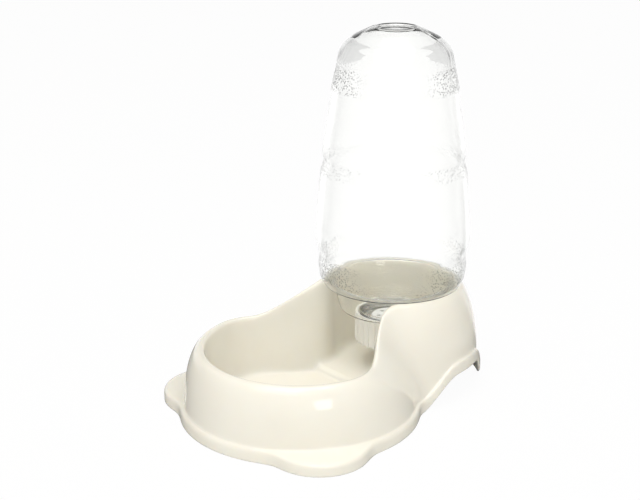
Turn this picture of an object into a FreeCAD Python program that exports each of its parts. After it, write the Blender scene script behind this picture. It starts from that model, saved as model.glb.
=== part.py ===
import FreeCAD
import Part
import Sketcher
import math
import os

doc = FreeCAD.newDocument("gravity_pet_waterer")

# Sizes, in millimetres and degrees
SIZES = [
    ("bowl_centre_y", -42.4),
    ("tower_centre_y", 60.4),
    ("bowl_flange_radius", 98.0),
    ("bowl_wall_radius", 94.0),
    ("bowl_rim_height", 57.3),
    ("bowl_rim_radius", 76.2),
    ("tower_foot_radius", 76.0),
    ("tower_wall_radius", 73.2),
    ("tower_rim_height", 87.4),
    ("tower_rim_radius", 58.6),
    ("wall_thickness", 2.4),
    ("ledge_height", 10.8),
    ("bowl_floor_height", 7.0),
    ("tower_floor_height", 12.0),
    ("step_back", 52.0),
    ("lobe_angle", 60.0),
    ("lobe_centre_radius", 78.0),
    ("lobe_radius", 39.5),
    ("arch_height", 24.5),
    ("arch_start", -26.0),
    ("arch_end", 56.0),
    ("arch_ramp", 28.0),
    ("rear_foot_extra", 4.0),
    ("rim_rise_start", 10.8),
    ("rim_rise_end", 66.8),
    ("waist_low_pull", 7.0),
    ("waist_bowl_pull", 30.0),
    ("waist_tower_pull", 25.0),
    ("post_radius", 4.5),
    ("post_height", 33.4),
    ("post_rib_length", 11.0),
    ("post_rib_height", 24.0),
    ("post_rib_width", 2.0),
    ("bottle_wall", 0.8),
    ("bottle_seat_height", 87.7),
    ("bottle_seat_radius", 58.4),
    ("bottle_step_radius", 49.3),
    ("bottle_step_taper", 5.0),
    ("bottle_body_radius", 64.2),
    ("bottle_groove_radius", 57.0),
    ("bottle_top_height", 301.5),
    ("bottle_mark_radius", 15.0),
    ("bottle_mark_drop", 1.8),
    ("bottle_neck_rise", 3.0),
    ("bottle_shoulder_rise", 1.2),
    ("neck_round", 1.6),
    ("shoulder_round", 3.0),
    ("step_round", 1.2),
    ("seat_round", 1.6),
    ("groove_round", 2.2),
    ("mark_round", 1.0),
    ("neck_radius", 26.4),
    ("neck_wall", 1.8),
    ("thread_radius", 27.6),
    ("thread_pitch", 4.0),
    ("thread_lead_in", 4.0),
    ("thread_root", 0.9),
    ("thread_crest", 0.4),
    ("cap_radius", 30.0),
    ("cap_bore", 28.0),
    ("cap_foot", 35.0),
    ("cap_height", 24.5),
    ("cap_plate", 2.4),
    ("cap_rib_radius", 0.7),
    ("cap_rib_count", 30.0),
    ("outlet_radius", 8.0),
    ("outlet_hub_radius", 4.4),
    ("outlet_arm_width", 2.0),
    ("seat_lip_radius", 9.4),
    ("seat_lip_height", 1.0),
    ("gasket_height", 2.2),
    ("stem_radius", 2.4),
    ("stem_play", 0.1),
    ("stem_height", 25.0),
    ("stem_disc_radius", 12.0),
    ("stem_disc_height", 8.6),
    ("stem_disc_plate", 1.8),
    ("seal_radius", 11.6),
    ("seal_plate", 1.6),
    ("cage_radius", 17.0),
    ("cage_height", 19.0),
    ("cage_plate", 1.8),
    ("cage_leg_width", 5.0),
    ("spring_radius", 6.4),
    ("spring_wire", 0.45),
    ("spring_turns", 4.0),
]

sheet = doc.addObject("Spreadsheet::Sheet", "Sizes")
for row, (alias, value) in enumerate(SIZES, start=1):
    sheet.set("A%d" % row, alias)
    sheet.set("B%d" % row, repr(value))
    sheet.setAlias("B%d" % row, alias)
doc.recompute()

FULL_TURN = 360.0
HALF_TURN = 180.0
ORIGIN = FreeCAD.Vector(0, 0, 0)
UP = FreeCAD.Vector(0, 0, 1)


def size(alias):
    return float(sheet.get(alias))


# Housing: level curves round the bowl and the tower
BOWL_STEPS = 27
WAIST_STEPS = 10
TOWER_STEPS = 15
SURFACE_DEGREE = 3
CUT_BELOW = 1.5

# Inside of the foot: share of the way from the foot to the wall, share of the ledge height
FOOT_INSIDE = [
    (0.0, 0.0),
    (0.0, 0.30),
    (0.0, 0.66),
    (0.06, 0.90),
    (0.32, 0.98),
    (0.70, 1.01),
    (0.90, 1.10),
    (1.0, 1.45),
]

FOOT_AND_WALL = [
    ("bowl_flange_radius", "bowl_wall_radius"),
    ("tower_foot_radius", "tower_wall_radius"),
]

# Inside of the tower rim: step outwards and drop below the rim
RIM_FIRST = 13
RIM_INSIDE = [(1.3, 5.0), (-0.5, 1.5), (-1.9, 0.2), (-3.1, 0.4), (-3.8, 2.2)]

# Angles where the waist leaves the bowl and meets the tower, at the foot and at the rim
BOWL_END_ANGLES = (128.0, 82.0)
TOWER_START_ANGLES = (72.0, 60.0)


def smooth(t):
    t = min(1.0, max(0.0, t))
    return t * t * (3.0 - 2.0 * t)


def mix(a, b, t):
    return a + (b - a) * t


def soft_max(a, b, width):
    h = max(0.0, 1.0 - abs(a - b) / width)
    return max(a, b) + h * h * width / 4.0


def housing_profile():
    rb = size("bowl_flange_radius")
    wb = size("bowl_wall_radius")
    kb = size("bowl_rim_radius")
    hb = size("bowl_rim_height")
    rt = size("tower_foot_radius")
    wt = size("tower_wall_radius")
    kt = size("tower_rim_radius")
    ht = size("tower_rim_height")
    lg = size("ledge_height")
    fb = size("bowl_floor_height")
    # each row: bowl radius, bowl height, tower radius, tower height, share of arch, share of lobe
    return [
        (rb, -CUT_BELOW, rt, -CUT_BELOW, 1.0, 1.0),
        (rb, 0.25 * lg, rt, 0.25 * lg, 1.0, 1.0),
        (rb, 0.60 * lg, rt, 0.57 * lg, 1.0, 1.0),
        (rb - 0.4, 0.84 * lg, rt - 0.2, 0.78 * lg, 1.0, 1.0),
        (rb - 1.6, 0.97 * lg, rt - 1.1, 0.89 * lg, 1.0, 0.90),
        (wb + 0.9, lg, wt + 0.8, 0.93 * lg, 1.0, 0.06),
        (wb + 0.3, 1.11 * lg, wt + 0.3, 1.04 * lg, 1.0, 0.0),
        (wb, 1.40 * lg, wt + 0.1, 1.30 * lg, 0.96, 0.0),
        (wb - 0.6, 0.38 * hb, wt, 0.29 * ht, 0.76, 0.0),
        (wb - 1.7, 0.54 * hb, wt - 0.6, 0.43 * ht, 0.46, 0.0),
        (wb - 3.5, 0.70 * hb, wt - 1.7, 0.57 * ht, 0.16, 0.0),
        (wb - 6.8, 0.845 * hb, wt - 3.6, 0.70 * ht, 0.0, 0.0),
        (mix(wb, kb, 0.62), 0.948 * hb, mix(wt, kt, 0.46), 0.82 * ht, 0.0, 0.0),
        (mix(wb, kb, 0.84), 0.995 * hb, mix(wt, kt, 0.75), 0.93 * ht, 0.0, 0.0),
        (kb, hb, kt, 0.99 * ht, 0.0, 0.0),
        (kb - 2.2, 0.992 * hb, kt - 2.4, ht, 0.0, 0.0),
        (kb - 3.6, 0.962 * hb, kt - 4.4, ht, 0.0, 0.0),
        (kb - 4.2, 0.905 * hb, kt - 6.0, 0.988 * ht, 0.0, 0.0),
        (kb - 5.0, 0.768 * hb, kt - 6.6, 0.93 * ht, 0.0, 0.0),
        (kb - 6.0, 0.60 * hb, kt - 7.0, 0.75 * ht, 0.0, 0.0),
        (kb - 7.2, 0.40 * hb, kt - 7.6, 0.46 * ht, 0.0, 0.0),
        (kb - 8.6, fb + 6.0, kt - 8.2, fb + 10.0, 0.0, 0.0),
        (kb - 10.7, fb + 1.8, kt - 9.6, fb + 2.6, 0.0, 0.0),
        (kb - 14.2, fb, kt - 12.4, fb, 0.0, 0.0),
        (kb - 18.2, fb, kt - 15.8, fb, 0.0, 0.0),
    ]


def inset(rows, gap):
    out = []
    for i in range(len(rows)):
        before = rows[max(0, i - 1)]
        after = rows[min(len(rows) - 1, i + 1)]
        new = []
        for r, z in ((0, 1), (2, 3)):
            dr = after[r] - before[r]
            dz = after[z] - before[z]
            run = math.hypot(dr, dz)
            new.append(rows[i][r] - gap * dz / run)
            new.append(rows[i][z] + gap * dr / run)
        out.append((new[0], new[1], new[2], new[3], rows[i][4], rows[i][5]))
    # inside of the foot and ledge, given directly so that it can't fold
    lg = size("ledge_height")
    for i, (across, rise) in enumerate(FOOT_INSIDE):
        pair = []
        for foot, web in FOOT_AND_WALL:
            pair.append(mix(size(foot), size(web), across) - gap)
            pair.append(rows[0][1] if i == 0 else rise * lg - gap * smooth(i / 3.0))
        out[i] = (pair[0], pair[1], pair[2], pair[3], rows[i][4], rows[i][5])
    # inside of the tower rim
    for i, (across, drop) in enumerate(RIM_INSIDE, start=RIM_FIRST):
        r = size("tower_rim_radius") + across
        z = size("tower_rim_height") - gap - drop
        out[i] = (out[i][0], out[i][1], r, z, 0.0, 0.0)
    return out


def waist_settings(height_share):
    # how far each ring runs before the waist, and how far the waist keeps its direction
    bowl_end = mix(*BOWL_END_ANGLES, height_share)
    tower_start = mix(*TOWER_START_ANGLES, height_share)
    bowl_pull = mix(size("waist_low_pull"), size("waist_bowl_pull"), height_share)
    tower_pull = mix(size("waist_low_pull"), size("waist_tower_pull"), height_share)
    return bowl_end, tower_start, bowl_pull, tower_pull


def half_curve(bowl_radius, tower_radius, height_share):
    yb = size("bowl_centre_y")
    yt = size("tower_centre_y")
    bowl_end, tower_start, bowl_pull, tower_pull = waist_settings(height_share)
    points = []
    for i in range(BOWL_STEPS):
        a = math.radians(bowl_end * i / BOWL_STEPS)
        points.append((bowl_radius * math.sin(a), yb - bowl_radius * math.cos(a)))
    a = math.radians(bowl_end)
    b = math.radians(tower_start)
    p0 = (bowl_radius * math.sin(a), yb - bowl_radius * math.cos(a))
    p1 = (p0[0] + bowl_pull * math.cos(a), p0[1] + bowl_pull * math.sin(a))
    p3 = (tower_radius * math.sin(b), yt - tower_radius * math.cos(b))
    p2 = (p3[0] - tower_pull * math.cos(b), p3[1] - tower_pull * math.sin(b))
    for i in range(WAIST_STEPS):
        t = i / WAIST_STEPS
        k = ((1 - t) ** 3, 3 * t * (1 - t) ** 2, 3 * t * t * (1 - t), t ** 3)
        x = k[0] * p0[0] + k[1] * p1[0] + k[2] * p2[0] + k[3] * p3[0]
        y = k[0] * p0[1] + k[1] * p1[1] + k[2] * p2[1] + k[3] * p3[1]
        points.append((x, y))
    for i in range(TOWER_STEPS + 1):
        a = math.radians(mix(tower_start, HALF_TURN, i / TOWER_STEPS))
        points.append((tower_radius * math.sin(a), yt - tower_radius * math.cos(a)))
    return points


def lobe_reach(angle, flange):
    d = size("lobe_centre_radius")
    r = size("lobe_radius")
    off = math.radians(angle - size("lobe_angle"))
    inside = r * r - (d * math.sin(off)) ** 2
    if inside <= 0 or abs(off) > math.pi / 2:
        return 0.0
    reach = d * math.cos(off) + math.sqrt(inside)
    return soft_max(flange, reach, 6.0) - flange


def arch_rise(angle):
    up = smooth((angle - size("arch_start")) / size("arch_ramp"))
    down = smooth((size("arch_end") - angle) / size("arch_ramp"))
    return (size("arch_height") + CUT_BELOW) * min(up, down)


def level_curve(row, height_share, crest_shares):
    rb, zb, rt, zt, arch_share, lobe_share = row
    yb = size("bowl_centre_y")
    yt = size("tower_centre_y")
    out = []
    for i, (x, y) in enumerate(half_curve(rb, rt, height_share)):
        z = mix(zb, zt, crest_shares[i])
        if i < BOWL_STEPS and lobe_share > 0:
            angle = math.degrees(math.atan2(x, yb - y))
            grow = 1.0 + lobe_share * lobe_reach(angle, size("bowl_flange_radius")) / rb
            x = x * grow
            y = yb + (y - yb) * grow
        if i >= BOWL_STEPS:
            angle = math.degrees(math.atan2(y - yt, max(x, 1e-6)))
            z += arch_share * arch_rise(angle)
            push = lobe_share * size("rear_foot_extra") * smooth((angle - 30.0) / 40.0)
            grow = 1.0 + push / rt
            x = x * grow
            y = yt + (y - yt) * grow
        out.append(FreeCAD.Vector(x, y, z))
    return out


def whole_ring(half):
    mirrored = [FreeCAD.Vector(-p.x, p.y, p.z) for p in half[-2:0:-1]]
    return half + mirrored


def height_shares(rows):
    peak = max(r[3] for r in rows)
    top = [r[3] for r in rows].index(peak)
    shares = []
    for i, r in enumerate(rows):
        share = smooth(r[3] / peak) if i < top else 1.0
        shares.append(share)
    return shares


def net_surface(rings):
    count = len(rings[0])
    poles = [[rings[v][u] for v in range(len(rings))] for u in range(count)]
    inner = len(rings) - SURFACE_DEGREE
    v_knots = list(range(inner + 1))
    v_mults = [SURFACE_DEGREE + 1] + [1] * (inner - 1) + [SURFACE_DEGREE + 1]
    surface = Part.BSplineSurface()
    surface.buildFromPolesMultsKnots(
        poles,
        [1] * (count + 1),
        v_mults,
        list(range(count + 1)),
        v_knots,
        True,
        False,
        SURFACE_DEGREE,
        SURFACE_DEGREE,
    )
    return surface


def closed_solid(face):
    faces = [face]
    for edge in face.Edges:
        if edge.isClosed() and edge.BoundBox.ZLength < 0.001:
            faces.append(Part.Face(Part.Wire(edge)))
    shell = Part.makeShell(faces)
    shell.sewShape()
    return Part.makeSolid(shell)


def ruled_block(low_row, low_z, high_row, high_z, share, crest_shares):
    wires = []
    for (rb, rt), z in ((low_row, low_z), (high_row, high_z)):
        half = level_curve((rb, 0.0, rt, 0.0, 0.0, 0.0), share, crest_shares)
        ring = [FreeCAD.Vector(p.x, p.y, z) for p in whole_ring(half)]
        curve = Part.BSplineCurve()
        curve.buildFromPolesMultsKnots(
            ring, [1] * (len(ring) + 1), list(range(len(ring) + 1)), True, SURFACE_DEGREE
        )
        wires.append(Part.Wire(curve.toShape()))
    return Part.makeLoft(wires, True, True)


top_rows = housing_profile()
top_shares = height_shares(top_rows)
crest = max(range(len(top_rows)), key=lambda i: top_rows[i][1])
crest_half = half_curve(top_rows[crest][0], top_rows[crest][2], 1.0)
rise_start = size("bowl_centre_y") + size("rim_rise_start")
rise_run = size("rim_rise_end") - size("rim_rise_start")
crest_shares = [smooth((y - rise_start) / rise_run) for x, y in crest_half]
under_rows = inset(top_rows, size("wall_thickness"))
rings = []
for row, share in zip(reversed(under_rows), reversed(top_shares)):
    rings.append(whole_ring(level_curve(row, share, crest_shares)))
for row, share in zip(top_rows, top_shares):
    rings.append(whole_ring(level_curve(row, share, crest_shares)))
skin = net_surface(rings).toShape()
housing = closed_solid(skin.Faces[0])

# Foot: everything under the ground plane is taken off
BIG = 400.0
GROUND_DEPTH = 10.0
corner = FreeCAD.Vector(-BIG / 2, -BIG / 2, -GROUND_DEPTH)
housing = housing.cut(Part.makeBox(BIG, BIG, GROUND_DEPTH, corner))

# Raised floor of the tower channel, hollow from below: insets from the bowl and the tower rim
STEP_LOW = (12.0, 11.0)
STEP_HIGH = (8.4, 7.9)
STEP_UNDER = (13.0, 12.4)
STEP_OVERLAP = 1.0
UNDER_FOOT = 0.5


def rim_ring(insets):
    return size("bowl_rim_radius") - insets[0], size("tower_rim_radius") - insets[1]


def behind(block, front):
    corner = FreeCAD.Vector(-BIG / 2, front, -BIG / 2)
    return block.common(Part.makeBox(BIG, BIG, BIG, corner))


tower_y = size("tower_centre_y")
step_front = tower_y - size("step_back")
step_top = size("tower_floor_height")
step_foot = size("bowl_floor_height") - STEP_OVERLAP
wall = size("wall_thickness")
step_block = ruled_block(
    rim_ring(STEP_LOW), step_foot, rim_ring(STEP_HIGH), step_top, 1.0, crest_shares
)
under_ring = rim_ring(STEP_UNDER)
under_block = ruled_block(
    under_ring, UNDER_FOOT, under_ring, step_top - wall, 1.0, crest_shares
)
housing = housing.fuse(behind(step_block, step_front))
housing = housing.cut(behind(under_block, step_front + wall))

# Valve post with its four ribs
POST_RIBS = 4
POST_TAPER = 0.8
RIB_TURN = 45.0
post_foot = step_top - STEP_OVERLAP
post_axis = FreeCAD.Vector(0, tower_y, post_foot)
post_radius = size("post_radius")
post_rise = size("post_height") - post_foot
post = Part.makeCone(post_radius, post_radius - POST_TAPER, post_rise, post_axis, UP)
ribs = []
for k in range(POST_RIBS):
    rib_width = size("post_rib_width")
    rib_corner = FreeCAD.Vector(0, tower_y - rib_width / 2, post_foot)
    rib_height = size("post_rib_height") - post_foot
    rib = Part.makeBox(size("post_rib_length"), rib_width, rib_height, rib_corner)
    rib.rotate(post_axis, UP, RIB_TURN + FULL_TURN / POST_RIBS * k)
    ribs.append(rib)
housing = housing.fuse([post] + ribs).removeSplitter()
base = doc.addObject("Part::Feature", "base_bowl")
base.Label = "base_bowl"
base.Shape = housing.Solids[0]


# Sizes given as words joined by plus and minus
def value_of(text):
    total = 0.0
    sign = 1.0
    for word in text.split():
        if word in ("+", "-"):
            sign = 1.0 if word == "+" else -1.0
        else:
            total += sign * (float(word) if word[0].isdigit() else size(word))
    return total


def expression_of(text):
    words = []
    for word in text.split():
        plain = word in ("+", "-") or word[0].isdigit()
        words.append(word if plain else "Sizes." + word)
    return " ".join(words)


def new_body(label, height):
    body = doc.addObject("PartDesign::Body", label)
    body.Label = label
    body.setExpression("Placement.Base.y", "Sizes.tower_centre_y")
    body.setExpression("Placement.Base.z", expression_of(height))
    return body


def origin_part(body, role):
    for item in body.Origin.OriginFeatures:
        if item.Role == role:
            return item


def new_sketch(body, name, role):
    sketch = body.newObject("Sketcher::SketchObject", name)
    sketch.AttachmentSupport = [(origin_part(body, role), "")]
    sketch.MapMode = "FlatFace"
    return sketch


def fix_value(sketch, kind, places, text):
    index = sketch.addConstraint(Sketcher.Constraint(kind, *places, value_of(text)))
    sketch.setExpression("Constraints[%d]" % index, expression_of(text))


def draw_outline(sketch, corners):
    spots = [FreeCAD.Vector(value_of(x), value_of(z), 0) for x, z in corners]
    count = len(spots)
    for i in range(count):
        sketch.addGeometry(Part.LineSegment(spots[i], spots[(i + 1) % count]), False)
    for i in range(count):
        sketch.addConstraint(Sketcher.Constraint("Coincident", i, 2, (i + 1) % count, 1))
    for i, (x, z) in enumerate(corners):
        if x == "0":
            sketch.addConstraint(Sketcher.Constraint("PointOnObject", i, 1, -2))
        else:
            fix_value(sketch, "DistanceX", (-1, 1, i, 1), x)
        if z == "0":
            sketch.addConstraint(Sketcher.Constraint("PointOnObject", i, 1, -1))
        else:
            fix_value(sketch, "DistanceY", (-1, 1, i, 1), z)


def draw_circle(sketch, x, radius):
    spot = FreeCAD.Vector(value_of(x), 0, 0)
    index = sketch.addGeometry(Part.Circle(spot, UP, value_of(radius)), False)
    fix_value(sketch, "DistanceX", (-1, 1, index, 3), x)
    sketch.addConstraint(Sketcher.Constraint("PointOnObject", index, 3, -1))
    fix_value(sketch, "Radius", (index,), radius)


def turned(label, height, corners):
    body = new_body(label, height)
    sketch = new_sketch(body, label + "_outline", "XZ_Plane")
    draw_outline(sketch, corners)
    turn = body.newObject("PartDesign::Revolution", label + "_turn")
    turn.Profile = sketch
    turn.ReferenceAxis = (sketch, ["V_Axis"])
    turn.Angle = FULL_TURN
    sketch.Visibility = False
    doc.recompute()
    return body


def polar_copies(body, feature, name, count):
    pattern = body.newObject("PartDesign::PolarPattern", name)
    pattern.Originals = [feature]
    pattern.Axis = (origin_part(body, "Z_Axis"), [""])
    pattern.Angle = FULL_TURN
    pattern.Occurrences = count
    body.Tip = pattern
    doc.recompute()
    return pattern


def round_cut(body, name, x, radius, depth):
    sketch = new_sketch(body, name + "_outline", "XY_Plane")
    draw_circle(sketch, x, radius)
    cut = body.newObject("PartDesign::Pocket", name)
    cut.Profile = sketch
    cut.setExpression("Length", expression_of(depth))
    cut.Reversed = True
    doc.recompute()
    return cut


# Bottle: corners of the outside over the seat, as shares of the body radius and of the height,
# each with the share of the body radius that rounds it
LOWER_CORNERS = [
    (0.9704, 0.0435, 0.156),
    (0.9533, 0.1183, 0.125),
    (1.0062, 0.1628, 0.187),
    (1.0016, 0.2446, 0.935),
    (0.9486, 0.4504, 0.093),
]
GROOVE_SHARE = 0.4916
UPPER_CORNERS = [
    (0.9190, 0.5253, 0.078),
    (0.8131, 0.7591, 0.935),
    (0.7212, 0.9111, 0.140),
    (0.4673, 0.9771, 0.935),
]
THREAD_TURNS = 3
SHARPEST = 0.3
MARK_SPREAD = 1.6
MARK_LIFT = 0.4


def body_corners(table):
    seat = size("bottle_seat_height")
    tall = size("bottle_top_height") - seat
    wide = size("bottle_body_radius")
    return [(wide * r, seat + tall * h, wide * f) for r, h, f in table]


def bottle_corners():
    seat = size("bottle_seat_height")
    top = size("bottle_top_height")
    groove = seat + (top - seat) * GROOVE_SHARE
    mark = size("bottle_mark_radius")
    mark_floor = top - size("bottle_mark_drop")
    mark_round = size("mark_round")
    step = size("bottle_step_radius")
    end = value_of("cap_foot + cap_plate + gasket_height")
    root = value_of("cap_foot + cap_height + bottle_neck_rise")
    shoulder = root + size("bottle_shoulder_rise")
    corners = [
        (size("neck_radius"), end, 0.0),
        (size("neck_radius"), root, size("neck_round")),
        (step - size("bottle_step_taper"), shoulder, size("shoulder_round")),
        (step, seat, size("step_round")),
        (size("bottle_seat_radius"), seat, size("seat_round")),
    ]
    corners += body_corners(LOWER_CORNERS)
    corners.append((size("bottle_groove_radius"), groove, size("groove_round")))
    corners += body_corners(UPPER_CORNERS)
    corners.append((mark + MARK_SPREAD, top + MARK_LIFT, mark_round))
    corners.append((mark - MARK_LIFT, mark_floor, mark_round / 2))
    corners.append((0.0, mark_floor, 0.0))
    return corners


def direction(a, b):
    run = math.hypot(b[0] - a[0], b[1] - a[1])
    return (b[0] - a[0]) / run, (b[1] - a[1]) / run


def inside_corners(corners, gap):
    out = [(corners[0][0] - gap, corners[0][1], 0.0)]
    for a, p, b in zip(corners, corners[1:], corners[2:]):
        d1 = direction(a, p)
        d2 = direction(p, b)
        share = gap / (1.0 + d1[0] * d2[0] + d1[1] * d2[1])
        r = p[0] - share * (d1[1] + d2[1])
        z = p[1] + share * (d1[0] + d2[0])
        leans_in = d1[0] * d2[1] - d1[1] * d2[0] > 0
        rounding = max(SHARPEST, p[2] - gap) if leans_in else p[2] + gap
        out.append((r, z, rounding))
    out.append((0.0, corners[-1][1] - gap, 0.0))
    return out


def in_plane(r, z):
    return FreeCAD.Vector(r, 0, z)


def rounded_edges(corners):
    edges = []
    last = in_plane(corners[0][0], corners[0][1])
    for a, p, b in zip(corners, corners[1:], corners[2:]):
        d1 = direction(p, a)
        d2 = direction(p, b)
        half = math.acos(max(-1.0, min(1.0, d1[0] * d2[0] + d1[1] * d2[1]))) / 2
        run = p[2] / math.tan(half)
        start = in_plane(p[0] + d1[0] * run, p[1] + d1[1] * run)
        finish = in_plane(p[0] + d2[0] * run, p[1] + d2[1] * run)
        lean = FreeCAD.Vector(d1[0] + d2[0], 0, d1[1] + d2[1]).normalize()
        middle = in_plane(p[0], p[1]) + lean * (p[2] / math.sin(half) - p[2])
        edges.append(Part.makeLine(last, start))
        edges.append(Part.Arc(start, middle, finish).toShape())
        last = finish
    edges.append(Part.makeLine(last, in_plane(corners[-1][0], corners[-1][1])))
    return edges


def turned_ring(points):
    wire = Part.makePolygon([in_plane(r, z) for r, z in points + points[:1]])
    return Part.Face(wire).revolve(ORIGIN, UP, FULL_TURN)


outside = bottle_corners()
inside = inside_corners(outside, size("bottle_wall"))
edges = rounded_edges(outside) + rounded_edges(inside)
edges.append(Part.makeLine(in_plane(*outside[0][:2]), in_plane(*inside[0][:2])))
edges.append(Part.makeLine(in_plane(*outside[-1][:2]), in_plane(*inside[-1][:2])))
bottle_face = Part.Face(Part.Wire(Part.__sortEdges__(edges)))
bottle_shell = bottle_face.revolve(ORIGIN, UP, FULL_TURN)
neck = size("neck_radius")
neck_end = outside[0][1]
neck_inner = neck - size("neck_wall")
half_wall = size("bottle_wall") / 2
sleeve_top = value_of("cap_foot + cap_height")
sleeve = turned_ring([
    (neck_inner, neck_end),
    (neck - half_wall, neck_end),
    (neck - half_wall, sleeve_top),
    (neck_inner, sleeve_top - 1.0),
])
threads = []
for turn in range(THREAD_TURNS):
    z = neck_end + size("thread_lead_in") + size("thread_pitch") * turn
    threads.append(turned_ring([
        (neck - half_wall, z - size("thread_root")),
        (size("thread_radius"), z - size("thread_crest")),
        (size("thread_radius"), z + size("thread_crest")),
        (neck - half_wall, z + size("thread_root")),
    ]))
bottle = doc.addObject("Part::Feature", "reservoir_bottle")
bottle.Label = "reservoir_bottle"
bottle.Shape = bottle_shell.fuse([sleeve] + threads).Solids[0]
bottle.Placement = FreeCAD.Placement(FreeCAD.Vector(0, tower_y, 0), FreeCAD.Rotation())

# Screw cap with its outlet holes and grip ribs
cap = turned("screw_cap", "cap_foot", [
    ("stem_radius + stem_play", "0"),
    ("cap_radius - 1.2", "0"),
    ("cap_radius", "1.2"),
    ("cap_radius", "cap_height"),
    ("cap_bore", "cap_height"),
    ("cap_bore", "cap_plate"),
    ("seat_lip_radius", "cap_plate"),
    ("seat_lip_radius", "cap_plate + seat_lip_height"),
    ("outlet_radius", "cap_plate + seat_lip_height"),
    ("outlet_radius", "cap_plate"),
    ("stem_radius + stem_play", "cap_plate"),
])
hole = round_cut(cap, "outlet_hole", "outlet_radius - 2.6", "1.6", "cap_plate + 1.0")
polar_copies(cap, hole, "outlet_holes", 6)
rib_sketch = new_sketch(cap, "grip_rib_outline", "XY_Plane")
draw_circle(rib_sketch, "cap_radius", "cap_rib_radius")
rib = cap.newObject("PartDesign::Pad", "grip_rib")
rib.Profile = rib_sketch
rib.setExpression("Length", "Sizes.cap_height")
doc.recompute()
polar_copies(cap, rib, "grip_ribs", int(size("cap_rib_count")))

# Sealing ring between the neck and the cap
gasket = turned("cap_gasket", "cap_foot + cap_plate", [
    ("neck_radius - neck_wall - 0.8", "0"),
    ("cap_bore - 0.1", "0"),
    ("cap_bore - 0.1", "gasket_height"),
    ("neck_radius - neck_wall - 0.8", "gasket_height"),
])

# Cage that holds the spring over the outlet
cage = turned("valve_cage", "cap_foot + cap_plate", [
    ("cage_radius - cage_plate", "0"),
    ("cage_radius", "0"),
    ("cage_radius", "cage_height - 1.0"),
    ("cage_radius - 1.0", "cage_height"),
    ("stem_radius + stem_play", "cage_height"),
    ("stem_radius + stem_play", "cage_height - cage_plate"),
    ("cage_radius - cage_plate", "cage_height - cage_plate"),
])
window_sketch = new_sketch(cage, "window_outline", "XZ_Plane")
draw_outline(window_sketch, [
    ("0", "2.4"),
    ("cage_radius - cage_leg_width", "2.4"),
    ("cage_radius - cage_leg_width", "cage_height - cage_plate - 1.4"),
    ("0", "cage_height - cage_plate - 1.4"),
])
window = cage.newObject("PartDesign::Pocket", "window")
window.Profile = window_sketch
window.setExpression("Length", "Sizes.cage_radius + 2")
doc.recompute()
polar_copies(cage, window, "windows", 4)
flow = round_cut(cage, "flow_hole", "cage_radius - 6.2", "1.8", "cage_height + 2.0")
polar_copies(cage, flow, "flow_holes", 6)

# Valve stem with its seal
stem = turned("valve_stem", "post_height + 0.1", [
    ("0", "0"),
    ("stem_radius - 0.6", "0"),
    ("stem_radius", "0.6"),
    ("stem_radius", "stem_disc_height"),
    ("stem_disc_radius", "stem_disc_height"),
    ("stem_disc_radius", "stem_disc_height + stem_disc_plate"),
    ("stem_radius", "stem_disc_height + stem_disc_plate"),
    ("stem_radius", "stem_height - 0.6"),
    ("stem_radius - 0.6", "stem_height"),
    ("0", "stem_height"),
])
seal = turned("valve_seal", "post_height + 0.1 + stem_disc_height - seal_plate", [
    ("stem_radius + 0.01", "0"),
    ("seal_radius - 0.4", "0"),
    ("seal_radius", "0.4"),
    ("seal_radius", "seal_plate"),
    ("stem_radius + 0.01", "seal_plate"),
])

# Spring between the stem's disc and the cage, bent from short straight runs
STEPS_PER_TURN = 14
SPRING_SEAT = 0.05
disc_top = value_of("post_height + 0.1 + stem_disc_height + stem_disc_plate")
cage_under = value_of("cap_foot + cap_plate + cage_height - cage_plate")
spring_low = disc_top + size("spring_wire") + SPRING_SEAT
spring_high = cage_under - size("spring_wire") - SPRING_SEAT
turns = size("spring_turns")
reach = size("spring_radius")
coil_steps = int(turns * STEPS_PER_TURN)
coil_points = []
for k in range(coil_steps + 1):
    a = math.tau * turns * k / coil_steps
    rise = (spring_high - spring_low) * k / coil_steps
    coil_points.append(FreeCAD.Vector(reach * math.cos(a), reach * math.sin(a), rise))
coil = Part.makePolygon(coil_points)
coil_start = coil_points[1] - coil_points[0]
wire_end = Part.Wire(Part.makeCircle(size("spring_wire"), coil_points[0], coil_start))
spring = doc.addObject("Part::Feature", "valve_spring")
spring.Label = "valve_spring"
spring.Shape = coil.makePipeShell([wire_end], True, True, 1)
spring.Placement = FreeCAD.Placement(FreeCAD.Vector(0, tower_y, spring_low), FreeCAD.Rotation())

# Write the pieces out
doc.recompute()
pieces = [base, bottle, cap, gasket, cage, stem, seal, spring]
for item in doc.Objects:
    if "Invalid" in item.State or "Error" in item.State:
        raise RuntimeError("piece not built: " + item.Name)
for piece in pieces:
    if piece.Shape.isNull() or not piece.Shape.isValid() or len(piece.Shape.Solids) != 1:
        raise RuntimeError("piece not sound: " + piece.Label)
os.makedirs("parts", exist_ok=True)
for piece in pieces:
    piece.Shape.exportStep("parts/" + piece.Label + ".step")
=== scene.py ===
import math

import bmesh
import bpy
import numpy as np
from mathutils import Matrix, Vector


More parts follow.
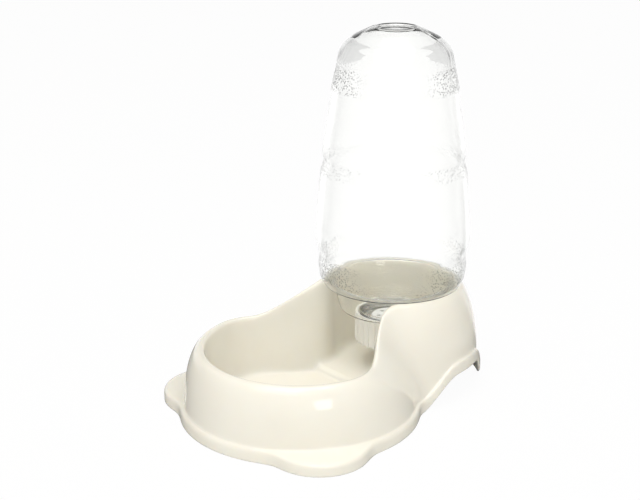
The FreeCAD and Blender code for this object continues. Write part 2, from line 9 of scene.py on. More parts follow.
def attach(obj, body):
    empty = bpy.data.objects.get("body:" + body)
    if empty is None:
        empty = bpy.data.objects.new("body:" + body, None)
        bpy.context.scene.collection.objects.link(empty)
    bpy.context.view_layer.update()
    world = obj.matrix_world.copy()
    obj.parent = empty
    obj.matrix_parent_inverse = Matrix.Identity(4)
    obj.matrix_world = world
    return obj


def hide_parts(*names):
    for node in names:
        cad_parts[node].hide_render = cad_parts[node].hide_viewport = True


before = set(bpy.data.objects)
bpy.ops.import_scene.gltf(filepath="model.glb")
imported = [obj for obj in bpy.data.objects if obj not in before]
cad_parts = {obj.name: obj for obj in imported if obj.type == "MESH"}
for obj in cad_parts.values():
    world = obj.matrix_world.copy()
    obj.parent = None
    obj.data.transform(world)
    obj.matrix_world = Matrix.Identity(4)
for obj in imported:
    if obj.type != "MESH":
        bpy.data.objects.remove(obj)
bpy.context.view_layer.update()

# Millimetres in a metre, and where the bowl and the tower have their middles along Y
MM = 1000.0
BOWL = -42.4
TOWER = 60.4
BOWL_Y = BOWL / MM
TOWER_Y = TOWER / MM
TINY = 1e-9

# Moulded surfaces
TONE_SCALE = 14.0
FINE_SCALE = 900.0
TONE_SPOTS = (0.3, 0.7)
MOULDED_IOR = 1.49
SCATTER_TINT = (1.0, 0.75, 0.5)
SCATTER_DEPTH = 0.003
BUMP_DEPTH = 0.0002

# Clear bottle wall
BOTTLE_IOR = 1.36
PEBBLE_SCALE = 640.0
PEBBLE_SIZE = (0.15, 0.60)
SIDE_VIEW = (0.06, 0.36)
SPECK_SIZE = (0.45, 0.80)
WALL_TINT = (0.99, 0.992, 0.985)
# Painted shade: near-black colour given to the pebbles where the wall is seen at a glancing angle
PAINTED_SPECK_SHADE = (0.02, 0.02, 0.018)
SHADOW_TINT = (0.985, 0.986, 0.98, 1)


# Materials
def new_material(name):
    mat = bpy.data.materials.new(name)
    mat.use_nodes = True
    tree = mat.node_tree
    tree.nodes.clear()
    out = tree.nodes.new("ShaderNodeOutputMaterial")
    return mat, tree, out


def node(tree, kind, **values):
    n = tree.nodes.new(kind)
    for key, value in values.items():
        if key in n.inputs:
            n.inputs[key].default_value = value
        else:
            setattr(n, key, value)
    return n


def link(tree, a, out_name, b, in_name):
    tree.links.new(a.outputs[out_name], b.inputs[in_name])


def ranged(tree, a, out_name, given=(0.0, 1.0), wanted=(0.0, 1.0), kind="SMOOTHSTEP"):
    """A value taken from the given range to the wanted one."""
    n = node(tree, "ShaderNodeMapRange", interpolation_type=kind)
    n.inputs["From Min"].default_value = given[0]
    n.inputs["From Max"].default_value = given[1]
    n.inputs["To Min"].default_value = wanted[0]
    n.inputs["To Max"].default_value = wanted[1]
    link(tree, a, out_name, n, "Value")
    return n


def toned(tree, a, out_name, low, high, spots=(0.0, 1.0)):
    """A value turned into a colour between low and high."""
    n = node(tree, "ShaderNodeValToRGB")
    for stop, spot, wall_tint_and_painted_shade in zip(n.color_ramp.elements, spots, (low, high)):
        stop.position = spot
        stop.color = (*wall_tint_and_painted_shade, 1)
    link(tree, a, out_name, n, "Fac")
    return n


def combined(tree, operation, *sources):
    """Math on the outputs of one or two nodes."""
    n = node(tree, "ShaderNodeMath", operation=operation)
    for place, (a, out_name) in enumerate(sources):
        link(tree, a, out_name, n, place)
    return n


def new_group(name, takes, gives):
    """Empty node group with these inputs and outputs, each a name and a kind of socket."""
    group = bpy.data.node_groups.new(name, "ShaderNodeTree")
    for way, sockets in (("INPUT", takes), ("OUTPUT", gives)):
        for label, kind in sockets:
            group.interface.new_socket(label, in_out=way, socket_type="NodeSocket" + kind)
    return group, group.nodes.new("NodeGroupInput"), group.nodes.new("NodeGroupOutput")


def use_group(tree, group, **values):
    n = tree.nodes.new("ShaderNodeGroup")
    n.node_tree = group
    for label, value in values.items():
        n.inputs[label].default_value = value
    return n


def surface_group():
    """Slow unevenness of a moulded surface: a tone factor, a roughness and a height."""
    takes = [(label, "Float") for label in ("Tone Scale", "Fine Scale", "Rough Low", "Rough High")]
    gives = [(label, "Float") for label in ("Tone", "Roughness", "Height")]
    group, given, result = new_group("moulded_surface", takes, gives)
    place = group.nodes.new("ShaderNodeTexCoord")
    slow = node(group, "ShaderNodeTexNoise", Detail=3.0, Roughness=0.55)
    fine = node(group, "ShaderNodeTexNoise", Detail=4.0, Roughness=0.6)
    span = ranged(group, slow, "Fac", kind="LINEAR")
    link(group, place, "Object", slow, "Vector")
    link(group, place, "Object", fine, "Vector")
    link(group, given, "Tone Scale", slow, "Scale")
    link(group, given, "Fine Scale", fine, "Scale")
    link(group, given, "Rough Low", span, "To Min")
    link(group, given, "Rough High", span, "To Max")
    link(group, slow, "Fac", result, "Tone")
    link(group, span, "Result", result, "Roughness")
    link(group, fine, "Fac", result, "Height")
    return group


SURFACE = surface_group()


def plastic(name, low, high, rough, bump, scatter=0.0):
    mat, tree, out = new_material(name)
    base = node(tree, "ShaderNodeBsdfPrincipled", IOR=MOULDED_IOR)
    base.inputs["Subsurface Weight"].default_value = scatter
    base.inputs["Subsurface Radius"].default_value = SCATTER_TINT
    base.inputs["Subsurface Scale"].default_value = SCATTER_DEPTH
    sizes = {"Tone Scale": TONE_SCALE, "Fine Scale": FINE_SCALE}
    face = use_group(tree, SURFACE, **sizes, **{"Rough Low": rough[0], "Rough High": rough[1]})
    tone = toned(tree, face, "Tone", low, high, TONE_SPOTS)
    bumps = node(tree, "ShaderNodeBump", Strength=bump, Distance=BUMP_DEPTH)
    link(tree, tone, "Color", base, "Base Color")
    link(tree, face, "Roughness", base, "Roughness")
    link(tree, face, "Height", bumps, "Height")
    link(tree, bumps, "Normal", base, "Normal")
    link(tree, base, "BSDF", out, "Surface")
    return mat


def clear_plastic():
    """Thin blown bottle wall with pebbled grip bands, marked by the grip attribute."""
    mat, tree, out = new_material("clear_blown_plastic")
    base = node(tree, "ShaderNodeBsdfPrincipled", IOR=BOTTLE_IOR)
    base.inputs["Transmission Weight"].default_value = 1.0
    place = node(tree, "ShaderNodeTexCoord")
    grip = node(tree, "ShaderNodeAttribute", attribute_name="grip")
    pebble = node(tree, "ShaderNodeTexVoronoi", Scale=PEBBLE_SCALE)
    wave = node(tree, "ShaderNodeTexNoise", Scale=26.0, Detail=2.0)
    link(tree, place, "Object", pebble, "Vector")
    link(tree, place, "Object", wave, "Vector")
    dome = ranged(tree, pebble, "Distance", PEBBLE_SIZE, (1.0, 0.0))
    dots = combined(tree, "MULTIPLY", (dome, "Result"), (grip, "Fac"))
    # Painted shade: seen along the wall, the pebbles' colour turns near black, standing in for light they
    # bend and reflect away
    grazing = node(tree, "ShaderNodeLayerWeight", Blend=0.5)
    side = ranged(tree, grazing, "Facing", SIDE_VIEW)
    speck = ranged(tree, dots, "Value", SPECK_SIZE)
    shade = combined(tree, "MULTIPLY", (side, "Result"), (speck, "Result"))
    wall_tint_and_painted_shade = toned(tree, shade, "Value", WALL_TINT, PAINTED_SPECK_SHADE)
    rough = ranged(tree, dots, "Value", wanted=(0.01, 0.06), kind="LINEAR")
    fine = node(tree, "ShaderNodeBump", Strength=0.25, Distance=0.0003)
    slow = node(tree, "ShaderNodeBump", Strength=0.10, Distance=0.001)
    link(tree, dots, "Value", fine, "Height")
    link(tree, wave, "Fac", slow, "Height")
    link(tree, fine, "Normal", slow, "Normal")
    link(tree, wall_tint_and_painted_shade, "Color", base, "Base Color")
    link(tree, rough, "Result", base, "Roughness")
    link(tree, slow, "Normal", base, "Normal")
    # Shadows and bounced light pass straight through
    open_way = node(tree, "ShaderNodeBsdfTransparent", Color=SHADOW_TINT)
    path = node(tree, "ShaderNodeLightPath")
    either = combined(tree, "MAXIMUM", (path, "Is Shadow Ray"), (path, "Is Diffuse Ray"))
    mix = node(tree, "ShaderNodeMixShader")
    link(tree, either, "Value", mix, 0)
    link(tree, base, "BSDF", mix, 1)
    link(tree, open_way, "BSDF", mix, 2)
    link(tree, mix, "Shader", out, "Surface")
    return mat


def wire_steel():
    mat, tree, out = new_material("drawn_wire")
    base = node(tree, "ShaderNodeBsdfPrincipled", Metallic=1.0)
    place = node(tree, "ShaderNodeTexCoord")
    streak = node(tree, "ShaderNodeTexNoise", Scale=400.0, Detail=2.0)
    tone = toned(tree, streak, "Fac", (0.42, 0.42, 0.43), (0.66, 0.66, 0.67))
    rough = ranged(tree, streak, "Fac", wanted=(0.2, 0.4), kind="LINEAR")
    link(tree, place, "Object", streak, "Vector")
    link(tree, tone, "Color", base, "Base Color")
    link(tree, rough, "Result", base, "Roughness")
    link(tree, base, "BSDF", out, "Surface")
    return mat


# Each plastic: darkest and lightest colour, range of roughness, bump, scatter
IVORY = plastic("ivory_moulding", (0.825, 0.792, 0.705), (0.855, 0.825, 0.74), (0.045, 0.075), 0.03, 0.2)
CAP = plastic("cap_moulding", (0.80, 0.79, 0.74), (0.85, 0.84, 0.79), (0.25, 0.34), 0.08, 0.1)
VALVE = plastic("valve_moulding", (0.74, 0.74, 0.72), (0.80, 0.80, 0.78), (0.38, 0.48), 0.12)
RUBBER = plastic("seal_rubber", (0.30, 0.29, 0.27), (0.36, 0.35, 0.33), (0.55, 0.68), 0.3)
CLEAR = clear_plastic()
WIRE = wire_steel()

FINISHES = {
    "screw_cap": CAP,
    "valve_cage": VALVE,
    "valve_stem": VALVE,
    "valve_seal": RUBBER,
    "cap_gasket": RUBBER,
    "valve_spring": WIRE,
}
for name, mat in FINISHES.items():
    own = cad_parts[name].data.materials
    own.clear()
    own.append(mat)


def new_piece(name, mesh, mat):
    piece = bpy.data.objects.new(name, mesh)
    bpy.context.scene.collection.objects.link(piece)
    mesh.materials.append(mat)
    return piece


def smooth_mesh(name, verts, faces):
    mesh = bpy.data.meshes.new(name)
    mesh.from_pydata(verts, [], faces)
    mesh.validate()
    for poly in mesh.polygons:
        poly.use_smooth = True
    return mesh


# Housing: rings round the bowl and the tower, in millimetres and degrees
BOWL_STEPS = 27
WAIST_STEPS = 10
TOWER_STEPS = 15
FINER = 3
CUT_BELOW = 1.5
SKIN = 2.4
LEDGE = 10.8
FLOOR = 7.0

# Waist, at the floor and at the crest: where it leaves the bowl and meets the tower, and its pulls
WAIST_FROM = (128.0, 80.3)
WAIST_TO = (72.0, 54.4)
BOWL_PULL = (7.0, 34.1)
TOWER_PULL = (7.0, 33.1)

# Rise of the rim from the bowl to the tower, along Y from the bowl's middle
RISE_FROM = 13.3
RISE_LENGTH = 51.1
RISE_POWER = 0.82

# Hand-hold arch in the tower's foot, by the angle from the side
ARCH_HEIGHT = 24.5
ARCH_FROM = -26.0
ARCH_TO = 56.0
ARCH_EASE = 28.0
BACK_SWELL = 4.0
BACK_FROM = 30.0
BACK_EASE = 40.0

# Floor tabs beside the bowl
LOBE_ANGLE = 60.0
LOBE_CENTRE = 78.0
LOBE_RADIUS = 39.5
LOBE_FILLET = 6.0
LOBE_FILLET_OUT = 1.5

# Raised floor of the tower channel
STEP_Y = 8.4
STEP_WIDTH = 2.4
STEP_RISE = 5.0
STEP_FADE = 16.0
STEP_FROM_ROW = 18

# Valve post in the tower floor and its ribs
POST_FOOT = 11.0
POST_HEIGHT = 33.4
POST_RADIUS = 4.5
POST_TAPER = 0.8
POST_SIDES = 48
RIB_COUNT = 4
RIB_TURN = 45
RIB_HEIGHT = 24.0
RIB_LENGTH = 11.0
RIB_WIDTH = 2.0

# Each row: bowl radius, bowl height, tower radius, tower height, share of arch, share of lobe
TOP_ROWS = [
    (98.0, -1.5, 76.0, -1.5, 1.0, 1.0),
    (98.0, 2.7, 76.0, 2.7, 1.0, 1.0),
    (98.0, 6.5, 76.0, 6.2, 1.0, 1.0),
    (97.6, 9.1, 75.8, 8.4, 1.0, 1.0),
    (96.4, 10.5, 74.9, 9.6, 1.0, 0.90),
    (94.9, 10.8, 74.0, 10.0, 1.0, 0.06),
    (94.3, 12.0, 73.5, 11.2, 1.0, 0.0),
    (94.0, 15.1, 73.3, 14.0, 0.96, 0.0),
    (93.4, 21.8, 73.2, 25.3, 0.76, 0.0),
    (92.4, 30.9, 72.6, 37.6, 0.46, 0.0),
    (90.8, 40.0, 71.5, 49.8, 0.16, 0.0),
    (88.2, 48.0, 69.6, 61.2, 0.0, 0.0),
    (85.2, 53.9, 66.5, 71.7, 0.0, 0.0),
    (82.3, 56.9, 62.3, 81.3, 0.0, 0.0),
    (79.8, 57.6, 58.6, 86.5, 0.0, 0.0),
    (78.0, 57.3, 56.2, 87.4, 0.0, 0.0),
    (76.8, 56.0, 54.2, 87.4, 0.0, 0.0),
    (76.2, 53.4, 52.6, 86.4, 0.0, 0.0),
    (75.4, 44.0, 52.0, 81.3, 0.0, 0.0),
    (74.2, 34.0, 51.6, 65.5, 0.0, 0.0),
    (72.8, 23.0, 51.0, 40.2, 0.0, 0.0),
    (71.0, 13.0, 50.4, 17.0, 0.0, 0.0),
    (69.0, 8.8, 49.0, 9.6, 0.0, 0.0),
    (65.6, 7.0, 46.2, 7.0, 0.0, 0.0),
    (61.6, 7.0, 42.8, 7.0, 0.0, 0.0),
]

# Foot and wall radius of the bowl, then of the tower
FLANGE = 98.0
FEET = ((FLANGE, 94.0), (76.0, 73.2))

# Inside of the foot: share of the way from the foot to the wall, share of the ledge height
FOOT_INSIDE = [
    (0.0, 0.0),
    (0.0, 0.30),
    (0.0, 0.66),
    (0.06, 0.90),
    (0.32, 0.98),
    (0.70, 1.01),
    (0.90, 1.10),
    (1.0, 1.45),
]
FOOT_ROUND = 3.0

# Inside of the tower's rolled rim, from its first row: how far out and down from the crest
RIM_RADIUS = 58.6
RIM_HEIGHT = 87.4
RIM_FIRST = 13
RIM_INSIDE = [(1.3, 5.0), (-0.5, 1.5), (-1.9, 0.2), (-3.1, 0.4), (-3.8, 2.2)]


def smooth(t):
    t = min(1.0, max(0.0, t))
    return t * t * (3.0 - 2.0 * t)


def blend(a, b, t):
    return a + (b - a) * t


def around(radius, middle, angle):
    """Point on a circle seen from above, by the angle from the front."""
    return radius * math.sin(angle), middle - radius * math.cos(angle)


def under_side(rows, gap):
    """The same rows, one wall thickness further in."""
    out = []
    for i, row in enumerate(rows):
        before = rows[max(0, i - 1)]
        after = rows[min(len(rows) - 1, i + 1)]
        new = []
        for r in (0, 2):
            dr = after[r] - before[r]
            dz = after[r + 1] - before[r + 1]
            run = math.hypot(dr, dz)
            new += [row[r] - gap * dz / run, row[r + 1] + gap * dr / run]
        out.append((*new, row[4], row[5]))
    for i, (across, rise) in enumerate(FOOT_INSIDE):
        height = rise * LEDGE - gap * smooth(i / FOOT_ROUND) if i else rows[0][1]
        pair = []
        for foot, web in FEET:
            pair += [blend(foot, web, across) - gap, height]
        out[i] = (*pair, rows[i][4], rows[i][5])
    for i, (across, drop) in enumerate(RIM_INSIDE, start=RIM_FIRST):
        out[i] = (out[i][0], out[i][1], RIM_RADIUS + across, RIM_HEIGHT - gap - drop, 0.0, 0.0)
    return out


def half_ring(bowl_radius, tower_radius, height):
    """Right half of a ring seen from above: bowl, waist and tower, from the front to the back."""
    bowl_end = math.radians(blend(*WAIST_FROM, height))
    tower_start = math.radians(blend(*WAIST_TO, height))
    bowl_pull = blend(*BOWL_PULL, height)
    tower_pull = blend(*TOWER_PULL, height)
    points = [around(bowl_radius, BOWL, bowl_end * i / BOWL_STEPS) for i in range(BOWL_STEPS)]
    start = around(bowl_radius, BOWL, bowl_end)
    end = around(tower_radius, TOWER, tower_start)
    leave = (start[0] + bowl_pull * math.cos(bowl_end), start[1] + bowl_pull * math.sin(bowl_end))
    arrive = (end[0] - tower_pull * math.cos(tower_start), end[1] - tower_pull * math.sin(tower_start))
    for i in range(WAIST_STEPS):
        t = i / WAIST_STEPS
        back = 1 - t
        shares = (back ** 3, 3 * t * back ** 2, 3 * t * t * back, t ** 3)
        spots = list(zip(shares, (start, leave, arrive, end)))
        points.append(tuple(sum(share * spot[axis] for share, spot in spots) for axis in (0, 1)))
    for i in range(TOWER_STEPS + 1):
        points.append(around(tower_radius, TOWER, blend(tower_start, math.pi, i / TOWER_STEPS)))
    return points


def lobe_reach(angle):
    """How far the floor tab stands out past the flange at this angle from the front."""
    off = math.radians(angle - LOBE_ANGLE)
    inside = LOBE_RADIUS ** 2 - (LOBE_CENTRE * math.sin(off)) ** 2
    if inside <= 0 or abs(off) > math.pi / 2:
        return 0.0
    reach = LOBE_CENTRE * math.cos(off) + math.sqrt(inside)
    near = max(0.0, 1.0 - abs(FLANGE - reach) / LOBE_FILLET)
    return max(FLANGE, reach) + near * near * LOBE_FILLET_OUT - FLANGE


def level_ring(row, height, rises):
    """Whole ring of one row, with its arches and floor tabs."""
    bowl_radius, bowl_z, tower_radius, tower_z, arch_share, lobe_share = row
    out = []
    for i, (x, y) in enumerate(half_ring(bowl_radius, tower_radius, height)):
        z = blend(bowl_z, tower_z, rises[i])
        if i < BOWL_STEPS:
            angle = math.degrees(math.atan2(x, BOWL - y))
            grow = 1.0 + lobe_share * lobe_reach(angle) / bowl_radius
            x, y = x * grow, BOWL + (y - BOWL) * grow
        else:
            angle = math.degrees(math.atan2(y - TOWER, max(x, TINY)))
            arch = min(smooth((angle - ARCH_FROM) / ARCH_EASE), smooth((ARCH_TO - angle) / ARCH_EASE))
            z += arch_share * arch * (ARCH_HEIGHT + CUT_BELOW)
            swell = BACK_SWELL * smooth((angle - BACK_FROM) / BACK_EASE)
            grow = 1.0 + lobe_share * swell / tower_radius
            x, y = x * grow, TOWER + (y - TOWER) * grow
        out.append((x, y, z))
    return out + [(-x, y, z) for x, y, z in out[-2:0:-1]]


def raise_step(points):
    """Lift the floor of the tower channel, fading out up the walls."""
    for p in points:
        along = smooth((p[1] - STEP_Y + STEP_WIDTH / 2) / STEP_WIDTH)
        p[2] += STEP_RISE * along * (1.0 - smooth((p[2] - FLOOR) / STEP_FADE))


def cubic_weights(poles, per_span, closed):
    """Weights of a uniform cubic curve over its poles, one row for each point along it."""
    spans = poles if closed else poles - 3
    count = spans * per_span if closed else spans * per_span + 1
    knots = [0] * 3 + list(range(spans + 1)) + [spans] * 3
    weights = np.zeros((count, poles))
    for j in range(count):
        t = j / per_span
        if closed:
            i = int(t)
            f = t - i
            second = 3 * f ** 3 - 6 * f * f + 4
            third = -3 * f ** 3 + 3 * f * f + 3 * f + 1
            share = ((1 - f) ** 3, second, third, f ** 3)
            for k in range(4):
                weights[j, (i - 1 + k) % poles] += share[k] / 6
            continue
        t = min(t, spans - TINY)
        now = [1.0 if a <= t < b else 0.0 for a, b in zip(knots, knots[1:])]
        for d in (1, 2, 3):
            up = []
            for i in range(len(now) - 1):
                a = (t - knots[i]) / max(TINY, knots[i + d] - knots[i])
                b = (knots[i + d + 1] - t) / max(TINY, knots[i + d + 1] - knots[i + 1])
                up.append(a * now[i] + b * now[i + 1])
            now = up
        weights[j] = now
    return weights


def housing_mesh():
    peak = max(row[3] for row in TOP_ROWS)
    first_top = [row[3] for row in TOP_ROWS].index(peak)
    heights = [smooth(row[3] / peak) if i < first_top else 1.0 for i, row in enumerate(TOP_ROWS)]
    crest = max(range(len(TOP_ROWS)), key=lambda i: TOP_ROWS[i][1])
    plan = half_ring(TOP_ROWS[crest][0], TOP_ROWS[crest][2], 1.0)
    along = [min(1.0, max(0.0, (y - BOWL - RISE_FROM) / RISE_LENGTH)) for x, y in plan]
    rim_rise = [smooth(share ** RISE_POWER) for share in along]
    rings = []
    for rows, order in ((under_side(TOP_ROWS, SKIN), -1), (TOP_ROWS, 1)):
        part = [level_ring(row, height, rim_rise) for row, height in zip(rows, heights)]
        rings += part[::order]
    net = np.array(rings)
    across = cubic_weights(len(rings), FINER, False)
    along_ring = cubic_weights(net.shape[1], FINER, True)
    grid = np.einsum("av,bu,vuk->abk", across, along_ring, net)
    grid[:, :, 2] = np.maximum(grid[:, :, 2], 0.0)
    inner = (len(TOP_ROWS) - STEP_FROM_ROW) * FINER
    raise_step(grid[:inner].reshape(-1, 3))
    raise_step(grid[-inner:].reshape(-1, 3))
    rows, cols = grid.shape[:2]
    verts = [tuple(v) for v in (grid / MM).reshape(-1, 3)]
    faces = []
    for a in range(rows - 1):
        for b in range(cols):
            n = (b + 1) % cols
            faces.append((a * cols + b, a * cols + n, (a + 1) * cols + n, (a + 1) * cols + b))
    # Floor of the bowl and its underside, strips from side to side
    for first, flip in ((0, True), ((rows - 1) * cols, False)):
        half = cols // 2
        for b in range(half):
            left = [first + b, first + b + 1]
            right = [first + (cols - b) % cols, first + (cols - b - 1) % cols]
            corners = [left[0], left[1], right[1], right[0]]
            face = []
            for corner in (corners[::-1] if flip else corners):
                if corner not in face:
                    face.append(corner)
            if len(face) > 2:
                faces.append(tuple(face))
    return smooth_mesh("housing", verts, faces)


def add_post(mesh):
    """Valve post in the middle of the tower floor, with its four ribs."""
    form = bmesh.new()
    form.from_mesh(mesh)
    high = POST_HEIGHT - POST_FOOT
    lift = Matrix.Translation((0, TOWER_Y, (POST_FOOT + high / 2) / MM))
    bmesh.ops.create_cone(
        form, cap_ends=True, segments=POST_SIDES, matrix=lift, depth=high / MM,
        radius1=POST_RADIUS / MM, radius2=(POST_RADIUS - POST_TAPER) / MM,
    )
    rib_high = RIB_HEIGHT - POST_FOOT
    spot = Matrix.Translation((0, TOWER_Y, (POST_FOOT + rib_high / 2) / MM))
    out = Matrix.Translation((RIB_LENGTH / 2 / MM, 0, 0))
    shape = Matrix.Diagonal((RIB_LENGTH / MM, RIB_WIDTH / MM, rib_high / MM, 1))
    for k in range(RIB_COUNT):
        angle = RIB_TURN + 360 * k / RIB_COUNT
        turn = Matrix.Rotation(math.radians(angle), 4, "Z")
        bmesh.ops.create_cube(form, size=1, matrix=spot @ turn @ out @ shape)
    form.to_mesh(mesh)
    form.free()
    return mesh


housing = new_piece("housing", add_post(housing_mesh()), IVORY)
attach(housing, "dispenser")
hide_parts("base_bowl")


# Bottle: outside line from the open neck to the closed end, radius and height in millimetres
NECK_LINE = [
    (26.4, 39.6), (26.4, 42.6), (27.6, 43.2), (27.6, 44.0), (26.4, 44.6), (26.4, 46.6), (27.6, 47.2),
    (27.6, 48.0), (26.4, 48.6), (26.4, 50.6), (27.6, 51.2), (27.6, 52.0), (26.4, 52.6), (26.4, 60.6),
]
SHOULDER_LINE = [
    (26.4, 60.6), (26.6, 61.9), (27.6, 62.9), (29.2, 63.3), (36.0, 63.5), (41.0, 63.9),
    (43.4, 64.9), (44.4, 66.6), (45.6, 71.5), (47.1, 78.0), (48.5, 84.5), (48.9, 86.3), (49.4, 87.3),
    (50.6, 87.7), (54.0, 87.7), (57.0, 87.7), (57.9, 88.1), (58.4, 89.2),
]
BODY_LINE = [
    (59.7, 91.5), (60.9, 94.6), (61.5, 98.5), (62.0, 104.0), (61.6, 109.0), (61.5, 112.5), (62.0, 116.5),
    (63.0, 120.0), (63.8, 124.0), (64.2, 132.0), (63.9, 140.0), (63.4, 149.0), (62.8, 158.0), (61.8, 168.0),
    (60.9, 178.0), (60.3, 183.5), (59.1, 187.8), (57.9, 191.0), (57.6, 192.8), (58.1, 195.6), (58.6, 199.0),
    (58.2, 205.0), (57.0, 214.0), (55.8, 223.6), (54.6, 230.5), (53.4, 237.0), (52.6, 243.0), (52.0, 249.0),
    (51.3, 254.0), (50.4, 259.0), (49.2, 264.5), (48.2, 269.0), (47.2, 274.0), (46.4, 278.5), (45.4, 282.2),
    (43.6, 285.8), (40.6, 289.2), (36.6, 292.2), (31.0, 295.2), (25.0, 298.0), (20.5, 300.2), (17.6, 301.2),
    (16.2, 301.5), (15.2, 301.0), (14.4, 299.9), (13.4, 299.6), (9.0, 299.7), (4.5, 299.8), (0.0, 299.8),
]

# Bore of the neck, up to where the wall follows the shoulder
NECK_BORE = [(24.6, 39.6), (24.6, 58.5), (25.6, 59.5)]
WALL = 0.8
LINE_STEPS = 3
AROUND = 160

# Thicker wall at the shoulder of the closed end, by height and by radius
DOME_WALL = 3.4
DOME_FROM = 268.0
DOME_FULL = 288.0
DOME_CORE = 26.0
DOME_CORE_EASE = 10.0

# Mould seam over the closed end: its columns, where it begins and how it stands out
SEAM_COLUMNS = (10, 90)
SEAM_RISE = 0.35
SEAM_FROM = 262.0
SEAM_EASE = 20.0
SEAM_CORE = 16.0
SEAM_CORE_EASE = 4.0
SEAM_OUT = 0.6
SEAM_UP = 0.8

# Pebbled bands: lower edge, upper edge and strength
GRIP_BANDS = ((250.0, 274.0, 1.0), (181.0, 199.0, 0.72), (92.0, 117.0, 0.85))
GRIP_FADE = 3.0


def spline(points, steps):
    out = []
    last = len(points) - 1
    for i in range(last):
        p = [Vector(points[max(0, min(last, i + k))]) for k in (-1, 0, 1, 2)]
        for s in range(steps):
            t = s / steps
            a = 2 * p[1]
            b = p[2] - p[0]
            c = 2 * p[0] - 5 * p[1] + 4 * p[2] - p[3]
            d = -p[0] + 3 * p[1] - 3 * p[2] + p[3]
            out.append((a + b * t + c * t * t + d * t ** 3) / 2)
    out.append(Vector(points[-1]))
    return out


def wall_at(radius, z):
    """The shoulder of the closed end is left thicker than the blown wall."""
    high = smooth((z - DOME_FROM) / (DOME_FULL - DOME_FROM))
    share = high * smooth((radius - DOME_CORE) / DOME_CORE_EASE)
    return blend(WALL, DOME_WALL, share)


def inward(line):
    """The line one wall thickness further in."""
    out = []
    for i, p in enumerate(line):
        wall = wall_at(p.x, p.y)
        along = line[min(len(line) - 1, i + 1)] - line[max(0, i - 1)]
        run = max(along.length, TINY)
        q = Vector((p.x - wall * along.y / run, p.y + wall * along.x / run))
        q.x = max(q.x, 0.0)
        out.append(q)
    return out


def grip_share(z):
    """How strongly the wall is pebbled at this height."""
    share = 0.0
    for low, high, depth in GRIP_BANDS:
        share = max(share, depth * min((z - low) / GRIP_FADE, (high - z) / GRIP_FADE, 1.0))
    return share


def turned_mesh(name, line):
    """The line turned round the tower's middle, with a single point where it meets the axis."""
    verts = []
    faces = []
    rows = []
    for p in line:
        steps = AROUND if p.x > TINY else 1
        row = []
        for k in range(steps):
            angle = math.tau * k / steps
            row.append(len(verts))
            x = p.x / MM * math.cos(angle)
            y = TOWER_Y + p.x / MM * math.sin(angle)
            verts.append((x, y, p.y / MM))
        rows.append(row)
    for low, high in zip(rows, rows[1:]):
        for k in range(AROUND):
            n = (k + 1) % AROUND
            if len(high) == 1:
                faces.append((low[k], low[n], high[0]))
            elif len(low) == 1:
                faces.append((low[0], high[n], high[k]))
            else:
                faces.append((low[k], low[n], high[n], high[k]))
    return smooth_mesh(name, verts, faces)


def joined(first, second):
    """Both meshes in one, the first one's points first."""
    both = bmesh.new()
    both.from_mesh(first)
    both.from_mesh(second)
    both.to_mesh(first)
    both.free()
    bpy.data.meshes.remove(second)
    return first


def seam_lift(spot, height):
    """How far a point of the seam moves, in metres."""
    radius = spot.length * MM
    share = smooth((height - SEAM_FROM) / SEAM_EASE) * smooth((radius - SEAM_CORE) / SEAM_CORE_EASE)
    way = spot.normalized() * SEAM_OUT + Vector((0, 0, SEAM_UP))
    return way * share * SEAM_RISE / MM


def bottle_mesh():
    body_line = spline(SHOULDER_LINE + BODY_LINE, LINE_STEPS)
    outer_line = [Vector(p) for p in NECK_LINE[:-1]] + body_line
    inner_line = [Vector(p) for p in NECK_BORE] + inward(body_line)
    outside = turned_mesh("bottle", outer_line)
    inside = turned_mesh("bottle_inside", inner_line[::-1] + [outer_line[0]])
    pole = AROUND * (len(outer_line) - 1)
    mesh = joined(outside, inside)
    mark = mesh.attributes.new("grip", "FLOAT", "POINT")
    for i, v in enumerate(mesh.vertices[:pole + 1]):
        height = v.co.z * MM
        mark.data[i].value = max(0.0, grip_share(height))
        if i % AROUND in SEAM_COLUMNS and i < pole:
            spot = Vector((v.co.x, v.co.y - TOWER_Y, 0.0))
            v.co += seam_lift(spot, height)
    return mesh


bottle = new_piece("bottle", bottle_mesh(), CLEAR)
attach(bottle, "dispenser")
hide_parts("reservoir_bottle")


# Studio
BACK = (-0.7458, 0.6661, 0.0)
BACKDROP_EDGE = 0.50
BACKDROP_FULL = 0.70
ROOM_TONE = 0.18
BACKDROP_TONE = 1.14
FLOOR_SIDES = 96
FLOOR_REACH = 9.0
FLOOR_SHADOW = 0.96
FILL_FROM = (0.45, -0.42, 0.79)
FILL_EDGE = (-0.3, 1.0)
FILL_TONES = (0.20, 0.66)
FILL_TINT = (1.0, 0.98, 0.93, 1)
CEILING_EDGE = (0.08, 0.50)
CEILING_TONES = (1.0, 0.12)


def backdrop_group():
    """White sweep behind the object and a dim room at the sides, by direction from the tower."""
    group, given, result = new_group("backdrop", [("Direction", "Vector")], [("Tone", "Float")])
    flat = node(group, "ShaderNodeVectorMath", operation="MULTIPLY")
    flat.inputs[1].default_value = (1, 1, 0)
    unit = node(group, "ShaderNodeVectorMath", operation="NORMALIZE")
    along = node(group, "ShaderNodeVectorMath", operation="DOT_PRODUCT")
    along.inputs[1].default_value = BACK
    span = ranged(group, along, "Value", (BACKDROP_EDGE, BACKDROP_FULL), (ROOM_TONE, BACKDROP_TONE))
    link(group, given, "Direction", flat, 0)
    link(group, flat, "Vector", unit, 0)
    link(group, unit, "Vector", along, 0)
    link(group, span, "Result", result, "Tone")
    return group


BACKDROP = backdrop_group()


def seen_rays(tree, path):
    """One for rays that show the backdrop straight, in a mirror or through clear plastic."""
    straight = combined(tree, "MAXIMUM", (path, "Is Camera Ray"), (path, "Is Transmission Ray"))
    return combined(tree, "MAXIMUM", (straight, "Value"), (path, "Is Glossy Ray"))


